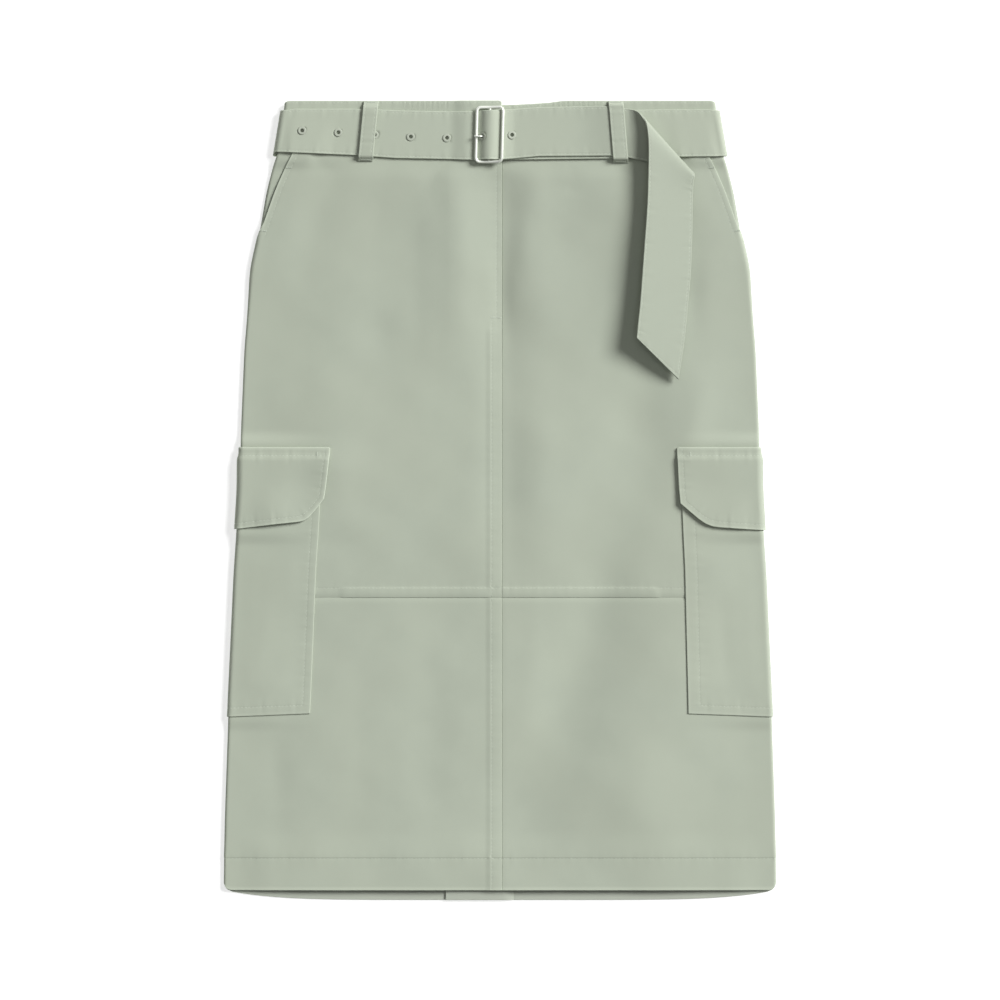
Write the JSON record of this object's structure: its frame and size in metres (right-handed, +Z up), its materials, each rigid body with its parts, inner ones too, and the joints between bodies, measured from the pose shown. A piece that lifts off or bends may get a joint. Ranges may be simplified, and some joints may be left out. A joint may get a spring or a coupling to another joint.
{
  "type": "cargo utility skirt",
  "caption": "Belted cotton-twill midi skirt laid flat, with slant hip pockets, flapped side cargo pockets, a seamed front and its own eyelet belt with a wire buckle.",
  "frame": {"origin": "centre of the bounding box, on the surface that the skirt lies on", "axes": "+Y towards the waist, +X towards the wearer's left, +Z up from the surface, out of the front"},
  "size_m": [0.4976, 0.7186, 0.0267],
  "materials": {
    "twill": "matte sage-green cotton twill",
    "belt_twill": "matte sage-green cotton twill, doubled and stitched",
    "metal": "pale satin metal"
  },
  "bodies": {
    "root": {"back_left": "twill", "back_right": "twill", "cargo_flap_left": "twill", "cargo_flap_right": "twill", "cargo_pocket_left": "twill", "cargo_pocket_right": "twill", "fly_underlap": "twill", "front_lower_left": "twill", "front_lower_right": "twill", "front_upper_left": "twill", "front_upper_right": "twill", "hip_facing_left": "twill", "hip_facing_right": "twill", "vent_underlap": "twill", "waistband_back": "twill", "waistband_front_left": "twill", "waistband_front_right": "twill", "belt_loop_back_centre": "twill", "belt_loop_back_left": "twill", "belt_loop_back_right": "twill", "belt_loop_front_left": "twill", "belt_loop_front_right": "twill", "belt_strap": "belt_twill", "belt_buckle_frame": "metal", "belt_buckle_prong": "metal", "belt_eyelet_1": "metal", "belt_eyelet_2": "metal", "belt_eyelet_3": "metal", "belt_eyelet_4": "metal", "belt_eyelet_5": "metal", "belt_eyelet_6": "metal", "belt_eyelet_7": "metal"}
  },
  "joints": []
}
